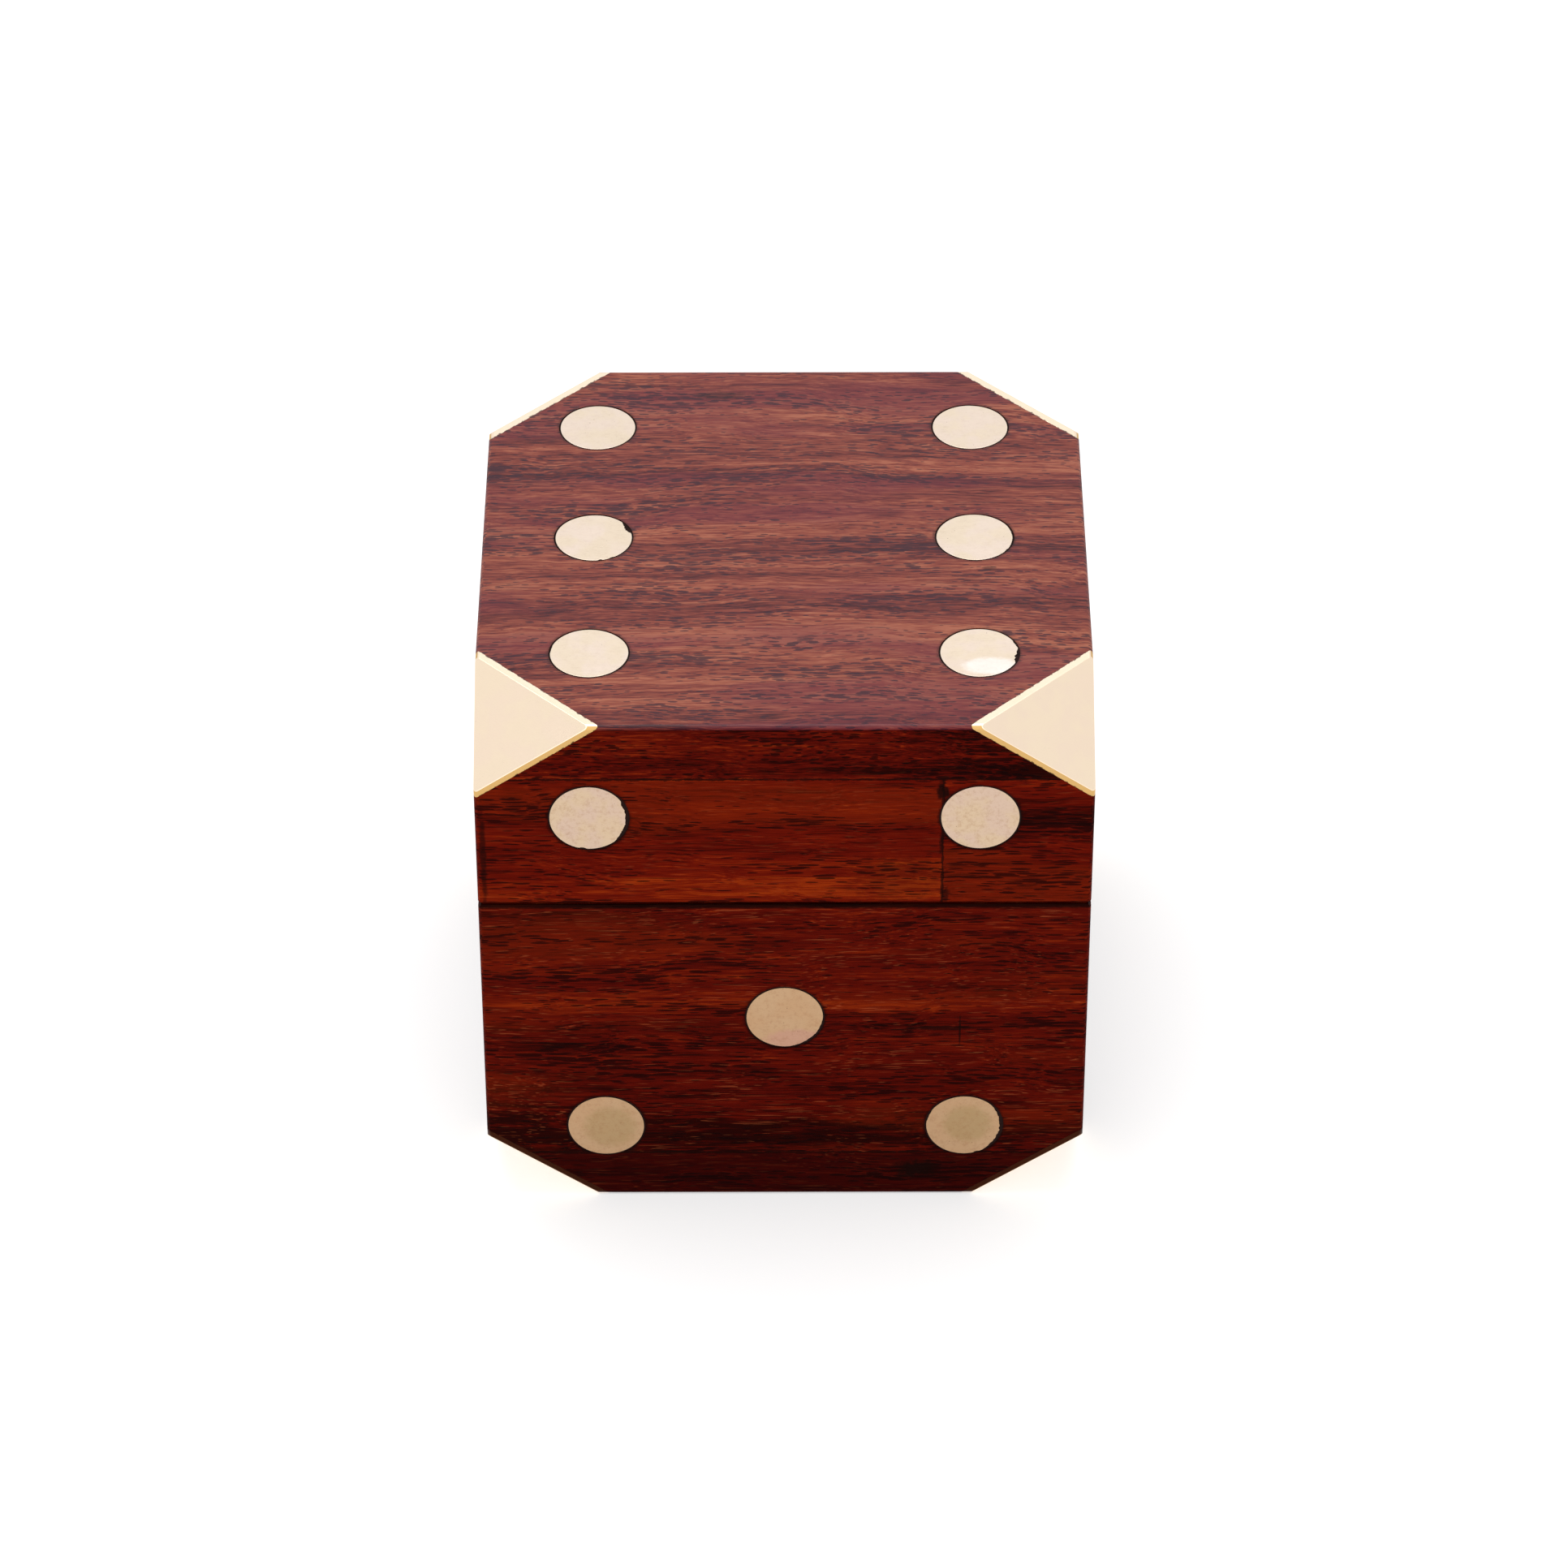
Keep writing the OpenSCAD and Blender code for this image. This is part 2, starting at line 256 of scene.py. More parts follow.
def rosewood(name, along, shift, stops, contrast=0.72, pores=0.8, pore_colour=WALL_PORE,
             crowding=0.22, shortness=1.0, flecks=0.1, polished_from=None, side_stops=None, blush=None,
             joints=(), bands=(), seam=None, painted_low_shade=0.0, marks=(), pips=(), soaking=0.7):
    """joints are (axis, place) of glue lines. bands are (axis, place, half width, strength)
    of paler or darker grain, marks are (middle, radii, strength) of dark spots, and pips are
    the middles of the pips, whose glue has soaked into the wood. Places are in millimetres."""
    wood = Finish(name)
    flat = wood.millimetres(shift, (0, 0, 0 if along == "X" else 90))
    sway = wood.noise(wood.stretch(flat, *SWAY), detail=1.0) - 0.5
    tilt = wood.noise(wood.stretch(flat, *TILT), detail=0.0) - 0.5
    ripple = wood.noise(wood.stretch(flat, *RIPPLE), detail=1.0) - 0.5
    offset = sway * 4 + tilt * 8 + ripple * 1.6
    bend = wood.node("CombineXYZ", inputs={"X": 0.0, "Y": offset, "Z": offset * 0.7})
    grain = wood.node("VectorMath", {"operation": "ADD"}, {0: flat, 1: bend})
    x, y, z = wood.axes()
    axes = {"X": x, "Y": y, "Z": z}

    # Bands, streaks and hairlines, each finer than the one before
    wide = wood.noise(wood.stretch(grain, *WIDE), detail=2.0)
    middle = wood.noise(wood.stretch(grain, *MIDDLE), detail=2.0, roughness=0.6)
    fine = wood.noise(wood.stretch(grain, FINE[0] * shortness, FINE[1]), detail=3.0, roughness=0.68)
    hair = wood.noise(wood.stretch(grain, HAIR[0] * shortness, HAIR[1]), detail=2.0, roughness=0.6)
    tone = (wide - 0.5) * 1.3 + (middle - 0.5) * 0.95 + (fine - 0.5) * 1.45 + (hair - 0.5) * 1.2
    for axis, centre, half_width, strength in bands:
        away = (axes[axis] - (offset * 0.25 + centre) * MM).size()
        tone = tone + (1 - away.step(half_width * 0.2 * MM, half_width * 1.5 * MM)) * strength
    # Painted shade: the walls are made darker towards the bottom, near the floor.
    if painted_low_shade:
        tone = tone - (1 - z.step(5 * MM, 25 * MM)) * painted_low_shade
    shade = tone * contrast + 0.5
    colour = wood.node("ValToRGB", {"stops": stops}, {"Fac": shade})
    if blush:
        patch = wood.noise(wood.stretch(grain, *PATCH), detail=2.0)
        colour = wood.mix(patch.step(0.47, 0.62) * blush[1], colour, blush[0])
    # Painted sheen: only the polished top face keeps the paler, more purple ramp and pores; the
    # board's sides take the walls' ramp and pores, though it is one wood.
    if side_stops:
        side = wood.node("ValToRGB", {"stops": side_stops}, {"Fac": shade})
        top_face = z.step((polished_from - 0.5) * MM, (polished_from - 0.3) * MM)
        colour = wood.mix(top_face, side, colour)
        pore_colour = wood.mix(top_face, WALL_PORE, pore_colour)

    # Pores: short dashes, and longer thin ones, denser in some bands than in others
    crowd = wood.noise(wood.stretch(grain, *CROWD), detail=1.0)
    cells = wood.stretch(grain, DASH[0] * shortness, DASH[1])
    dash = wood.node("TexVoronoi", {"feature": "F1"}, {"Vector": cells, "Scale": 1.0})
    short = ((crowd - crowding) * 1.05 - dash).step(0.0, 0.05)
    thread = wood.noise(wood.stretch(grain, *THREAD), detail=2.0, roughness=0.6)
    long = (thread + crowd * 0.3).step(0.75, 0.81) * 0.75
    dark = short.larger(long)
    colour = wood.mix(dark * pores, colour, pore_colour)

    # Pale flecks: pores that are filled, with a painted glint where the light catches the lacquer
    glint = wood.noise(wood.stretch(grain, *GLINT), detail=1.0)
    pale = (glint - crowd * 0.3).step(0.51, 0.58)
    colour = wood.mix(pale * flecks, colour, FLECK)

    ragged = wood.noise(flat, scale=1.1, detail=3.0, roughness=0.7)
    deep = dark
    for axis, where in joints:
        distance = (axes[axis] - where * MM).size()
        line = 1 - (distance - (ragged - 0.42) * (0.6 * MM)).step(0.02 * MM, 0.13 * MM)
        colour = wood.mix(line * 0.8, colour, GLUE_AND_SHADE_TONE)
        deep = deep.larger(line)
    for centre in pips:
        soaked = blotch(wood, centre, (4.2, 4.2, 4.2), ragged, (0.99, 1.08), 0.2)
        colour = wood.mix(soaked * soaking, colour, GLUE_AND_SHADE_TONE)
    for centre, radii, strength in marks:
        colour = wood.mix(blotch(wood, centre, radii, ragged) * strength, colour, GLUE_AND_SHADE_TONE)
    # Painted shade: a dark line along the seam between lid and base, on the outer faces, for the
    # shadow in the gap there.
    if seam:
        outside = x.size().larger(y.size()).step(*OUTER_FACE)
        edge = 1 - ((z - seam * MM).size() - ragged * (0.2 * MM)).step(0.05 * MM, 0.3 * MM)
        colour = wood.mix(edge * outside * 0.9, colour, GLUE_AND_SHADE_TONE)
    wood.set(
        Base_Color=colour,
        Roughness=0.36 + dark * 0.25 + (fine - 0.5) * 0.3,
        Specular_IOR_Level=WOOD_GLOSS,
    )
    if polished_from:
        top_face = z.step((polished_from - 0.4) * MM, polished_from * MM)
        wood.set(Coat_Weight=top_face * COAT_SHARE, Coat_Roughness=COAT_ROUGHNESS, Coat_IOR=1.5)
    wood.bump(1 - deep * 0.7 - (hair - 0.5) * 0.3, 0.03 * MM, 0.5)
    return wood.material


def shades(*colours):
    """Ramp stops at equal steps from colours."""
    low, high = 0.1, 0.9
    return [
        (low + (high - low) * i / (len(colours) - 1), rgb(*c)) for i, c in enumerate(colours)
    ]


# Painted sheen: the top's ramp is paler and more purple than the walls' ramp that the board's own
# sides take.
TOP_SHADES = shades((60, 16, 26), (98, 35, 35), (122, 52, 44), (140, 66, 53), (156, 83, 62),
                    (174, 102, 78))
FRONT_SHADES = shades((36, 2, 0), (62, 5, 1), (84, 9, 2), (94, 13, 3), (112, 24, 4),
                      (138, 42, 8))
LID_SHADES = shades((46, 3, 0), (72, 7, 1), (96, 12, 2), (106, 17, 3), (124, 28, 4),
                    (150, 48, 8))
# Painted shade: the floor board's ramp is darker still, near the floor.
FLOOR_SHADES = shades((26, 1, 0), (42, 2, 1), (54, 3, 1), (64, 7, 2), (80, 14, 4))
PURPLE, ORANGE = rgb(112, 38, 52), rgb(136, 40, 6)
print("wood shades:", len(TOP_SHADES), len(FRONT_SHADES), len(LID_SHADES), len(FLOOR_SHADES))

# %% [markdown]
# Each board is cut from a different place in the plank, so each gets its own shift of the pattern. The
# top face is paler and more purple than the board's own sides: a painted sheen, as the board is one
# wood. The walls are deeper and redder, and the lid's walls are more orange. A board that meets
# another one shows a dark glue line there, and the glue of the pips has soaked a little way into the
# wood round them.

# %% Where the pips are
NORMALS = {
    "top": (0, 0, 1), "bottom": (0, 0, -1), "front": (0, -1, 0),
    "back": (0, 1, 0), "right": (1, 0, 0), "left": (-1, 0, 0),
}


def face_of(node):
    return next((face for face in NORMALS if face in node.split("_")), "bottom")


SAME_PIP = 12 * MM  # points nearer to each other than this are on one disc


def pip_boxes(node):
    """The box of each disc in a part: its points fall into groups that lie apart."""
    groups = []
    for vertex in nodes[node].data.vertices:
        near = [g for g in groups if (vertex.co - g[0]).length < SAME_PIP]
        if near:
            near[0].append(vertex.co.copy())
        else:
            groups.append([vertex.co.copy()])
    return [(Vector(map(min, zip(*g))), Vector(map(max, zip(*g)))) for g in groups]


def pip_centres(body, face_name):
    """The middles of a face's pips, at the face, in metres."""
    out = Vector(NORMALS[face_name])
    return [
        (low + high) / 2 + out * abs((high - low).dot(out)) / 2
        for node in sorted(nodes) if "pip" in node
        and (node_body[node], face_of(node)) == (body, face_name)
        for low, high in pip_boxes(node)
    ]


print("pips on the front of the base:", len(pip_centres("base", "front")))

# %% Wood on the boards and walls
floor_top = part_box("base_floor_board")[1].z / MM
board_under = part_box("lid_top_board")[0].z / MM
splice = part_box("lid_front_wall_long")[1].x / MM
wall_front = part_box("base_front_wall")[1].y / MM
seam_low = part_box("base_front_wall")[1].z / MM
seam_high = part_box("lid_front_wall_long")[0].z / MM
die_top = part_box("lid_top_board")[1].z / MM
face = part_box("base_front_wall")[0].y / MM
side_joints = [("Y", wall_front), ("Y", -wall_front)]
floor_joint, board_joint = ("Z", floor_top), ("Z", board_under)

on_base = dict(stops=FRONT_SHADES, seam=seam_low, painted_low_shade=0.24, blush=(ORANGE, 0.2))
on_lid = dict(stops=LID_SHADES, seam=seam_high, blush=(ORANGE, 0.25))
BOARDS = {
    "lid_top_board": dict(
        along="X", shift=(3, 11, 2), stops=TOP_SHADES, contrast=1.0, pores=0.8,
        pore_colour=rgb(50, 24, 40), crowding=0.2, shortness=1.8, flecks=0.05, polished_from=die_top,
        side_stops=FRONT_SHADES, blush=(PURPLE, 0.5), soaking=0.5,
        joints=[board_joint],
        # painted sheen: the band at Y -21 mm makes the front of the top paler
        bands=[("Y", -0.9, 0.7, -0.14), ("Y", 14, 2.5, 0.06), ("Y", -21, 9, 0.12),
               ("Z", 59.0, 2.6, -0.14)],
        marks=[((-6.7, 27, die_top), (3.5, 1.0, 1), 0.45),
               ((21.5, -4.7, die_top), (0.9, 0.5, 0.4), 0.5)]),
    "lid_front_wall_long": dict(
        along="X", shift=(40, 7, 31), flecks=0.12, joints=[board_joint, ("X", splice)],
        bands=[("Z", 42.2, 1.8, 0.46), ("Z", 47.8, 0.8, -0.16), ("Z", 50.5, 3.5, -0.10)],
        marks=[((splice - 0.2, face, 55.2), (0.6, 1, 1.3), 0.9),
               ((splice - 0.1, face, 48.5), (0.35, 1, 1.6), 0.7),
               ((11.5, face, 43.5), (6, 1, 4), 0.25),
               # painted shade: the last mark darkens the lid's rounded front left edge
               ((-31.0, face, 46.5), (0.4, 1, 7.5), 0.7)], **on_lid),
    "lid_front_wall_short": dict(
        along="X", shift=(90, 12, 75), flecks=0.12, joints=[board_joint, ("X", splice)],
        bands=[("Z", 47, 7, -0.22)],
        marks=[((splice + 0.2, face, 55.0), (0.5, 1, 0.9), 0.9),
               ((splice + 0.3, face, 41.6), (0.5, 1, 1.2), 0.7)], **on_lid),
    "lid_back_wall": dict(along="X", shift=(10, 50, 60), joints=[board_joint], **on_lid),
    "lid_left_wall": dict(
        along="Y", shift=(22, 70, 15), joints=[board_joint, *side_joints], **on_lid),
    "lid_right_wall": dict(
        along="Y", shift=(55, 30, 95), joints=[board_joint, *side_joints], **on_lid),
    "base_front_wall": dict(
        along="X", shift=(70, 3, 44), flecks=0.3, joints=[floor_joint],
        bands=[("Z", 27.2, 1.0, 0.24), ("Z", 29.8, 0.8, -0.14), ("Z", 24.2, 0.5, -0.12),
               ("Z", 36, 3.5, 0.13)],
        marks=[((18.4, face, 23.2), (0.14, 1, 2.6), 0.8),
               ((16.0, face, 23.4), (4.6, 1, 0.35), 0.7)], **on_base),
    "base_back_wall": dict(along="X", shift=(33, 91, 12), flecks=0.2, joints=[floor_joint],
                           **on_base),
    "base_left_wall": dict(along="Y", shift=(81, 17, 52), flecks=0.2,
                           joints=[floor_joint, *side_joints], **on_base),
    "base_right_wall": dict(along="Y", shift=(5, 66, 83), flecks=0.2,
                            joints=[floor_joint, *side_joints], **on_base),
    "base_floor_board": dict(
        along="X", shift=(48, 29, 7), stops=FLOOR_SHADES, joints=[floor_joint],
        marks=[((14.1, face, 3.6), (2.8, 2, 1.5), 0.95)]),
}


def dress(node, material):
    """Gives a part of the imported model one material."""
    mesh = nodes[node].data
    mesh.materials.clear()
    mesh.materials.append(material)


for node, look in BOARDS.items():
    middles = [centre / MM for centre in pip_centres(node_body[node], face_of(node))]
    dress(node, rosewood(node + "_wood", pips=middles, **look))
print("boards dressed:", len(BOARDS))

# %% [markdown]
# ## Brass
#
# The pips and plates are pale yellow brass, sanded flush with the wood and lacquered with it, so they
# are bright but not mirrors. Close up they show fine straight scratches from the sanding paper, slow
# changes between yellow and pink, and a few dark specks. The side pips have gone dull in small
# patches. A corner plate shows its thin edge in the box's faces. Where that edge lies in an upright
# face its colour is painted: golden on the lid's plates, a painted shade, and dark brown on the
# base's.

# %% Where the corners are cut
# The cut's normal points out over a corner, at 45 degrees from the horizon
CUT_UP = math.sin(math.radians(45))
CUT_OUT = math.cos(math.radians(45)) * math.sin(math.radians(45))
CUT_REACH = max(
    (abs(v.co.x) + abs(v.co.y)) * CUT_OUT + abs(v.co.z - die_top / 2 * MM) * CUT_UP
    for v in nodes["lid_plate_front_left"].data.vertices
)
print("the cut lies", round(CUT_REACH / MM, 2), "mm from the middle of the box")

# %% The brass finish
SCRATCH_TONE, SPECK_TONE = rgb(170, 130, 92), rgb(90, 60, 36)
DULL_TONE, SQUEEZED_GLUE = rgb(150, 104, 72), rgb(40, 16, 10)


def brass(name, colour, other, turn, roughness, specks=0.6, scratch=1.0, mottle=0.0, tint_patches=(),
          edge=None):
    """mottle is the strength of dull patches; the soft patches of another colour, a painted highlight
    among them, are (middle, radii in mm, colour, strength); and edge is the colour painted on the edge
    that a plate shows in the upright faces, a painted shade on the lid's plates."""
    metal = Finish(name)
    flat = metal.millimetres(turn=turn)
    cloud = metal.noise(flat, scale=0.35, detail=3.0)
    ragged = metal.noise(flat, scale=1.6, detail=3.0, roughness=0.7)
    lines = metal.noise(metal.stretch(flat, 0.5, 16.0), detail=2.0, roughness=0.7)
    crossing = metal.noise(
        metal.stretch(metal.millimetres(turn=[a + 24 for a in turn]), 0.6, 11.0), detail=2.0
    )
    dots = metal.node("TexVoronoi", {"feature": "F1"}, {"Vector": flat, "Scale": 1.4})
    chosen = metal.noise(flat, scale=0.9, detail=0.0)
    spots = (chosen * 0.12 - dots).step(0.0, 0.03) * specks
    tint = metal.mix(cloud.step(0.38, 0.62), colour, other)
    for middle, radii, patch_tone, strength in tint_patches:
        tint = metal.mix(
            blotch(metal, middle, radii, ragged, (0.7, 1.15), 0.5) * strength, tint, patch_tone
        )
    if mottle:
        patina = metal.noise(flat, scale=1.9, detail=5.0, roughness=0.8)
        tint = metal.mix(patina.step(0.46, 0.68) * mottle, tint, DULL_TONE)
    tint = metal.mix((lines - 0.5).size() * 0.5 * scratch, tint, SCRATCH_TONE)
    tint = metal.mix(spots, tint, SPECK_TONE)
    # Painted shade: where the plate's thin edge lies in an upright face it takes the edge colour,
    # darker than where it lies in the top.
    if edge:
        x, y, z = metal.axes()
        above = (z - die_top / 2 * MM).size()
        below_face = CUT_REACH - (x.size() + y.size()) * CUT_OUT - above * CUT_UP
        upright = 1 - above.step((die_top / 2 - 0.09) * MM, (die_top / 2 - 0.05) * MM)
        tint = metal.mix(below_face.step(0.04 * MM, 0.08 * MM) * upright, tint, edge)
        squeezed = (below_face + (ragged - 0.5) * 0.5 * MM).step(0.52 * MM, 0.60 * MM)
        tint = metal.mix(squeezed * 0.85, tint, SQUEEZED_GLUE)
    metal.set(
        Base_Color=tint,
        Metallic=1.0,
        Roughness=roughness + (lines - 0.5) * 0.25 + (cloud - 0.5) * 0.15 + spots * 0.3,
    )
    metal.bump(lines * 0.6 + crossing * 0.4 - spots, 0.01 * MM, 0.25 * scratch)
    return metal.material


def plate_brass(name, edge):
    return brass(name, rgb(249, 229, 203), rgb(247, 226, 203), (0, 0, 35), 0.36, specks=0.1,
                 scratch=0.5, edge=edge)


PLATE_BRASS = {
    "lid": plate_brass("lid_plate_brass", rgb(206, 166, 104)),
    "base": plate_brass("base_plate_brass", rgb(58, 26, 12)),
}
HINGE_BRASS = brass("hinge_brass", rgb(226, 188, 128), rgb(214, 170, 112), (0, 0, 0), 0.36)
NAIL_BRASS = brass("nail_brass", rgb(196, 156, 100), rgb(180, 136, 84), (0, 0, 0), 0.42)
GLUE = Finish("glue")
GLUE.set(
    Base_Color=GLUE.mix(GLUE.noise(GLUE.millimetres(), scale=2.5), rgb(8, 4, 4), rgb(40, 14, 8)),
    Roughness=GLUE.noise(GLUE.millimetres(), scale=4.0) * 0.4 + 0.5,
    Specular_IOR_Level=0.1,
)
print("brass and glue finishes:", sum("brass" in m.name or m.name == "glue"
                                      for m in bpy.data.materials))

# %% [markdown]
# ## Pips
#
# Each pip is a disc cut from brass sheet, hammered into a drilled recess with dark glue and
# sanded flush. By hand none comes out quite round: some have lost a chip at the edge, mostly
# on the right, where the glue shows. A circle is drawn with that outline, extruded down into
# its recess, and its rim is bevelled a hair. The ring of glue is bridged from the same outline
# to the recess, so it fills exactly what the pip leaves.

# %% Turning a face to the front
def face_turn(face_name):
    """Turns X across a face and Y up it, as seen from outside, and Z out of it."""
    out = Vector(NORMALS[face_name])
    up = Vector((0, 1, 0)) if out.z else Vector((0, 0, 1))
    return Matrix((up.cross(out), up, out)).transposed().to_4x4()


print("across the right face runs", tuple(face_turn("right").to_3x3() @ Vector((1, 0, 0))))

# %% Making a piece
def merged_copy(node):
    """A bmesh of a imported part, with its loose triangles joined and flat areas made whole."""
    bm = bmesh.new()
    bm.from_mesh(nodes[node].data)
    bmesh.ops.remove_doubles(bm, verts=bm.verts, dist=0.002 * MM)
    bmesh.ops.dissolve_limit(
        bm, angle_limit=math.radians(0.6), use_dissolve_boundaries=False, verts=bm.verts,
        edges=bm.edges, delimit=set()
    )
    return bm


def ease(bm, amount, sharper_than):
    """Bevels every edge that is sharper than an angle in degrees."""
    sharp = [
        e for e in bm.edges
        if len(e.link_faces) == 2 and e.calc_face_angle() > math.radians(sharper_than)
    ]
    bmesh.ops.bevel(
        bm, geom=sharp, offset=amount * MM, offset_type="OFFSET", affect="EDGES", segments=2,
        profile=0.5, material=-1, clamp_overlap=True,
    )


LARGE_FLAT = 4 * MM * MM


def finished(bm, name, material, body, slot, *replaced, smooth=None):
    """Makes a piece that rides on a body; smooth is the angle above which an edge stays sharp.
    A large flat face keeps its own normal, so the bevels round it don't shade it."""
    bmesh.ops.recalc_face_normals(bm, faces=bm.faces)
    open_edges = sum(len(e.link_faces) != 2 for e in bm.edges)
    mesh = bpy.data.meshes.new(name)
    bm.to_mesh(mesh)
    bm.free()
    if smooth:
        mesh.shade_smooth()
        mesh.set_sharp_from_angle(angle=math.radians(smooth))
        for polygon in mesh.polygons:
            polygon.use_smooth = polygon.area < LARGE_FLAT
    mesh.materials.append(material)
    piece = bpy.data.objects.new(name, mesh)
    scene.collection.objects.link(piece)
    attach(piece, body)
    if replaced:
        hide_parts(*replaced)
    print(f"{name}: {len(mesh.polygons)} faces, {open_edges} open edges")
    return piece


# %% A worn pip and its ring of glue
PIP_RADIUS = 4.02 * MM
PIP_DEPTH = 1.45 * MM
RECESS_RADIUS = 4.195 * MM
LEAST_GLUE = 0.05 * MM
WANDER = 0.010  # how far a hand-cut outline strays, as a share of its radius
GLUE_SINK = 0.06 * MM
PIP_SIDES = 144


def worn_radius(angle, chips, seed):
    """The outline of a hand-cut disc; chips are (angle, half width, depth in mm)."""
    wander = noise.noise(Vector((math.cos(angle), math.sin(angle), seed * 3.7)))
    worn = PIP_RADIUS * (1 + WANDER * wander)
    for middle, half_width, depth in chips:
        off = abs((math.degrees(angle) - middle + 180) % 360 - 180) / half_width
        if off < 1:
            jag = 0.8 + 0.5 * noise.noise(Vector((angle * 14, seed, 0.5)))
            worn -= depth * MM * (1 - off**3) * jag
    return min(worn, RECESS_RADIUS - LEAST_GLUE)


def ring_of(bm, outline, height, filled=False):
    """A ring of points at a height, with the radius that outline gives for each angle."""
    ring = bmesh.ops.create_circle(bm, segments=PIP_SIDES, radius=1, cap_ends=filled)["verts"]
    for vertex in ring:
        vertex.co *= outline(math.atan2(vertex.co.y, vertex.co.x))
        vertex.co.z = height
    return ring


def push_down(bm, faces, depth):
    """Extrudes faces down and gives the points of the new ones."""
    made = bmesh.ops.extrude_face_region(bm, geom=faces)["geom"]
    low = [v for v in made if isinstance(v, bmesh.types.BMVert)]
    bmesh.ops.translate(bm, verts=low, vec=(0, 0, -depth))
    return low


def add_pip(bm, place, outline):
    rim = ring_of(bm, outline, 0, filled=True)
    low = push_down(bm, list({f for v in rim for f in v.link_faces}), PIP_DEPTH)
    bmesh.ops.transform(bm, matrix=place, verts=rim + low)


def add_glue(bm, place, outline):
    inner = ring_of(bm, outline, -GLUE_SINK)
    outer = ring_of(bm, lambda angle: RECESS_RADIUS, -GLUE_SINK)
    edges = list({e for v in inner + outer for e in v.link_edges})
    ring = bmesh.ops.bridge_loops(bm, edges=edges)["faces"]
    low = push_down(bm, ring, PIP_DEPTH - GLUE_SINK)
    bmesh.ops.transform(bm, matrix=place, verts=inner + outer + low)


# %% [markdown]
# The pips on top are the palest. Those on the sides are a little darker, and the base's more than the
# lid's: painted reflection and shade, as all are one brass that mirrors the white surroundings on top
# and the floor in front, which is darker near the box. The chips that are known are given by the place
# of their pip across and up its face; the others get a random one now and then.

# %% Pips on every face
# Painted reflection and shade: one brass, paler on top, darker on the sides and darkest on the base.
PIP_COLOURS = {
    "top": (rgb(233, 216, 194), rgb(231, 214, 199)),
    "lid": (rgb(204, 179, 150), rgb(203, 177, 157)),
    "base": (rgb(189, 155, 120), rgb(188, 152, 116)),
}
MOTTLE = {"top": 0.08, "lid": 0.3, "base": 0.3}
OLIVE, ROSE, PAINTED_HIGHLIGHT = rgb(160, 136, 92), rgb(188, 142, 124), rgb(252, 244, 238)
KNOWN_TINT_PATCHES = {
    "base_front_pips": [
        ((-18.6, -31.75, 9.6), (2.9, 5, 2.9), OLIVE, 0.5),
        ((19.4, -31.75, 10.0), (2.7, 5, 2.7), OLIVE, 0.55),
        ((1.2, -31.75, 21.8), (3.4, 5, 1.5), ROSE, 0.7),
    ],
    # painted highlight: a bright patch on the front right pip of the top
    "lid_top_pips": [((21.2, -21.6, 63.5), (3.0, 1.5, 1), PAINTED_HIGHLIGHT, 0.8)],
}
KNOWN_CHIPS = {  # face, sign of the place across, sign of the place up
    ("top", -1, -1): [(170, 10, 0.05)],
    ("top", 1, -1): [(-8, 17, 0.42), (22, 8, 0.12)],
    ("top", -1, 0): [(27, 15, 0.40), (-78, 3, 0.18), (-60, 4, 0.08)],
    ("top", 1, 0): [(0, 30, 0.06), (-35, 5, 0.1)],
    ("top", -1, 1): [],
    ("top", 1, 1): [],
    ("front", -1, 1): [(-8, 42, 0.30), (26, 5, 0.14), (-100, 6, 0.12)],
    ("front", 1, 1): [],
    ("front", -1, -1): [],
    ("front", 0, 0): [(-40, 42, 0.14)],
    ("front", 1, -1): [(-8, 52, 0.26), (-70, 5, 0.14), (160, 12, 0.08)],
}
MIDDLE_ZONE = 9 * MM


def zone(distance):
    return 0 if abs(distance) < MIDDLE_ZONE else int(math.copysign(1, distance))


def chips_of(face_name, centre):
    from_middle = face_turn(face_name).inverted() @ (centre - Vector((0, 0, die_top / 2 * MM)))
    key = (face_name, zone(from_middle.x), zone(from_middle.y))
    if key in KNOWN_CHIPS:
        return KNOWN_CHIPS[key]
    if random.random() < 0.5:
        return [(random.uniform(-60, 60), random.uniform(8, 30), random.uniform(0.08, 0.3))]
    return []


pip_count = 0
for node in sorted(n for n in nodes if "pip" in n):
    body, face_name = node_body[node], face_of(node)
    grain_turn = (0, 0, 90) if face_name in ("left", "right") else (0, 0, 0)
    kind = "top" if face_name == "top" else body
    metal = brass(node + "_brass", *PIP_COLOURS[kind], grain_turn, 0.34, mottle=MOTTLE[kind],
                  tint_patches=KNOWN_TINT_PATCHES.get(node, ()))
    pip_bm, glue_bm = bmesh.new(), bmesh.new()
    for centre in pip_centres(body, face_name):
        place = Matrix.Translation(centre) @ face_turn(face_name)
        chips, seed = chips_of(face_name, centre), pip_count

        def outline(angle):
            return worn_radius(angle, chips, seed)

        add_pip(pip_bm, place, outline)
        add_glue(glue_bm, place, outline)
        pip_count += 1
    ease(pip_bm, 0.03, 60)
    finished(pip_bm, node + "_worn", metal, body, "pip_brass", node)
    finished(glue_bm, node + "_glue", GLUE.material, body, "rosewood")
print("pips:", pip_count)

# %% [markdown]
# ## Plates, hinges and nails
#
# The plates and hinge leaves are cut from thin sheet and filed by hand, so their edges are not
# razor sharp: a tiny bevel on each one catches the light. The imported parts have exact, sharp
# edges, so each is copied, its triangles are merged, and the edges of the copy are bevelled.

